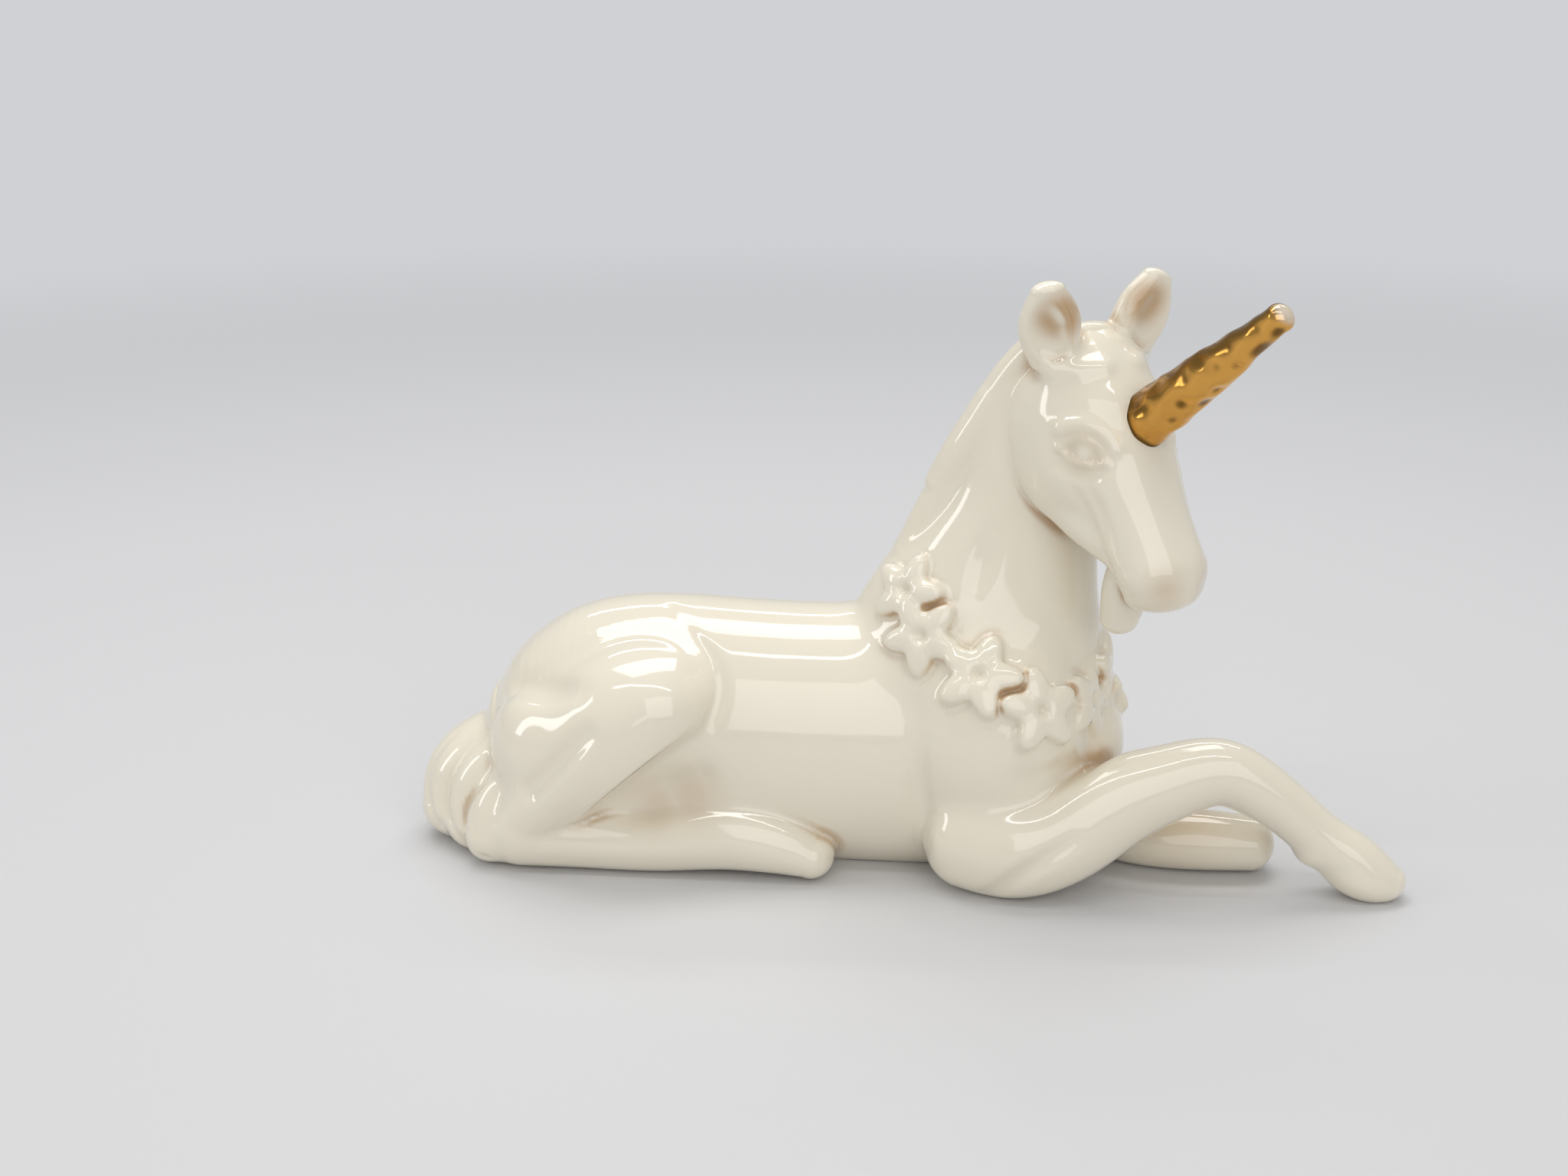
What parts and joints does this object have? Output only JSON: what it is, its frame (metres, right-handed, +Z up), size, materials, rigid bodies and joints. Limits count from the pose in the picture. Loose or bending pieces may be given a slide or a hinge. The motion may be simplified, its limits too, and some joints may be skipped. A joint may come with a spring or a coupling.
{
  "type": "unicorn figurine",
  "caption": "Lying unicorn ornament of creamy glazed porcelain with turned head, gilded horn, goatee, swept tail and a garland of star florets; stands free on a flat base.",
  "frame": {"origin": "on the flat base under the barrel, below the withers' rear, midway between tail and forward hoof", "axes": "+X from tail to chest, -Y out of the flank that the head turns to, +Z up"},
  "size_m": [0.1405, 0.049, 0.0839],
  "materials": {
    "porcelain": "clear high-gloss glaze over a creamy white body, tan where the glaze pools",
    "gilded_horn": "bright gold lustre fired over the glaze, hammered and worn pale at the tip"
  },
  "bodies": {
    "root": {"beard": "porcelain", "body": "porcelain", "far_ear": "porcelain", "far_foreleg": "porcelain", "far_hind_leg": "porcelain", "floret_1": "porcelain", "floret_10": "porcelain", "floret_11": "porcelain", "floret_12": "porcelain", "floret_2": "porcelain", "floret_3": "porcelain", "floret_4": "porcelain", "floret_5": "porcelain", "floret_6": "porcelain", "floret_7": "porcelain", "floret_8": "porcelain", "floret_9": "porcelain", "head": "porcelain", "horn": "gilded_horn", "mane": "porcelain", "near_ear": "porcelain", "near_foreleg": "porcelain", "near_hind_leg": "porcelain", "neck": "porcelain", "tail": "porcelain"}
  },
  "joints": []
}
